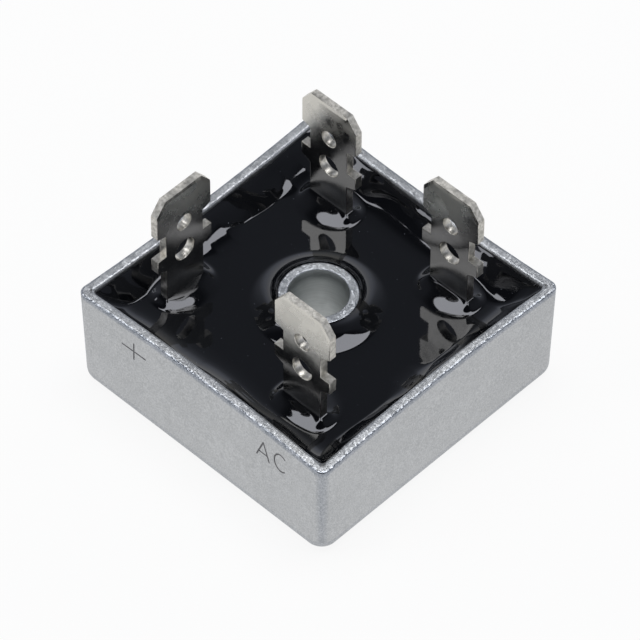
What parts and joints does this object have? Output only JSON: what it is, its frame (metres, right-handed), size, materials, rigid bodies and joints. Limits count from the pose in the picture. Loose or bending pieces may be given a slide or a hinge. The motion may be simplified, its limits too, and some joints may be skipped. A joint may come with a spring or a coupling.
{
  "type": "bridge rectifier",
  "caption": "Square potted bridge rectifier: aluminium case with a central screw hole, black resin fill and an upright blade terminal near each corner.",
  "frame": {"origin": "centre of the case's underside, on the axis of the screw hole", "axes": "+Z out of the open side of the case, along the screw hole and the terminals; the wall with the polarity marks faces -Y and the marks read along +X"},
  "size_m": [0.0286, 0.0286, 0.0213],
  "materials": {
    "case_aluminium": "tumbled, fine satin grain with bright worn edges",
    "potting_resin": "poured black epoxy, glossy, with a meniscus at every upright face",
    "plated_brass": "bright nickel or tin plate on brass",
    "insulator_ceramic": "fired alumina",
    "copper": "bare stamped copper",
    "silicon": "polished, glass passivated",
    "solder": "dull solder"
  },
  "bodies": {
    "root": {"case": "case_aluminium", "resin": "potting_resin", "insulator": "insulator_ceramic", "plus_plate": "copper", "minus_plate": "copper", "ac1_bridge": "copper", "ac2_bridge": "copper", "plus_terminal": "plated_brass", "ac1_terminal": "plated_brass", "minus_terminal": "plated_brass", "ac2_terminal": "plated_brass", "diode_plus_ac1": "silicon", "diode_minus_ac1": "silicon", "diode_minus_ac2": "silicon", "diode_plus_ac2": "silicon", "solder_under_plus_ac1": "solder", "solder_under_minus_ac1": "solder", "solder_under_minus_ac2": "solder", "solder_under_plus_ac2": "solder", "solder_over_plus_ac1": "solder", "solder_over_minus_ac1": "solder", "solder_over_minus_ac2": "solder", "solder_over_plus_ac2": "solder", "solder_plus_foot": "solder", "solder_ac1_foot": "solder", "solder_minus_foot": "solder", "solder_ac2_foot": "solder"}
  },
  "joints": []
}
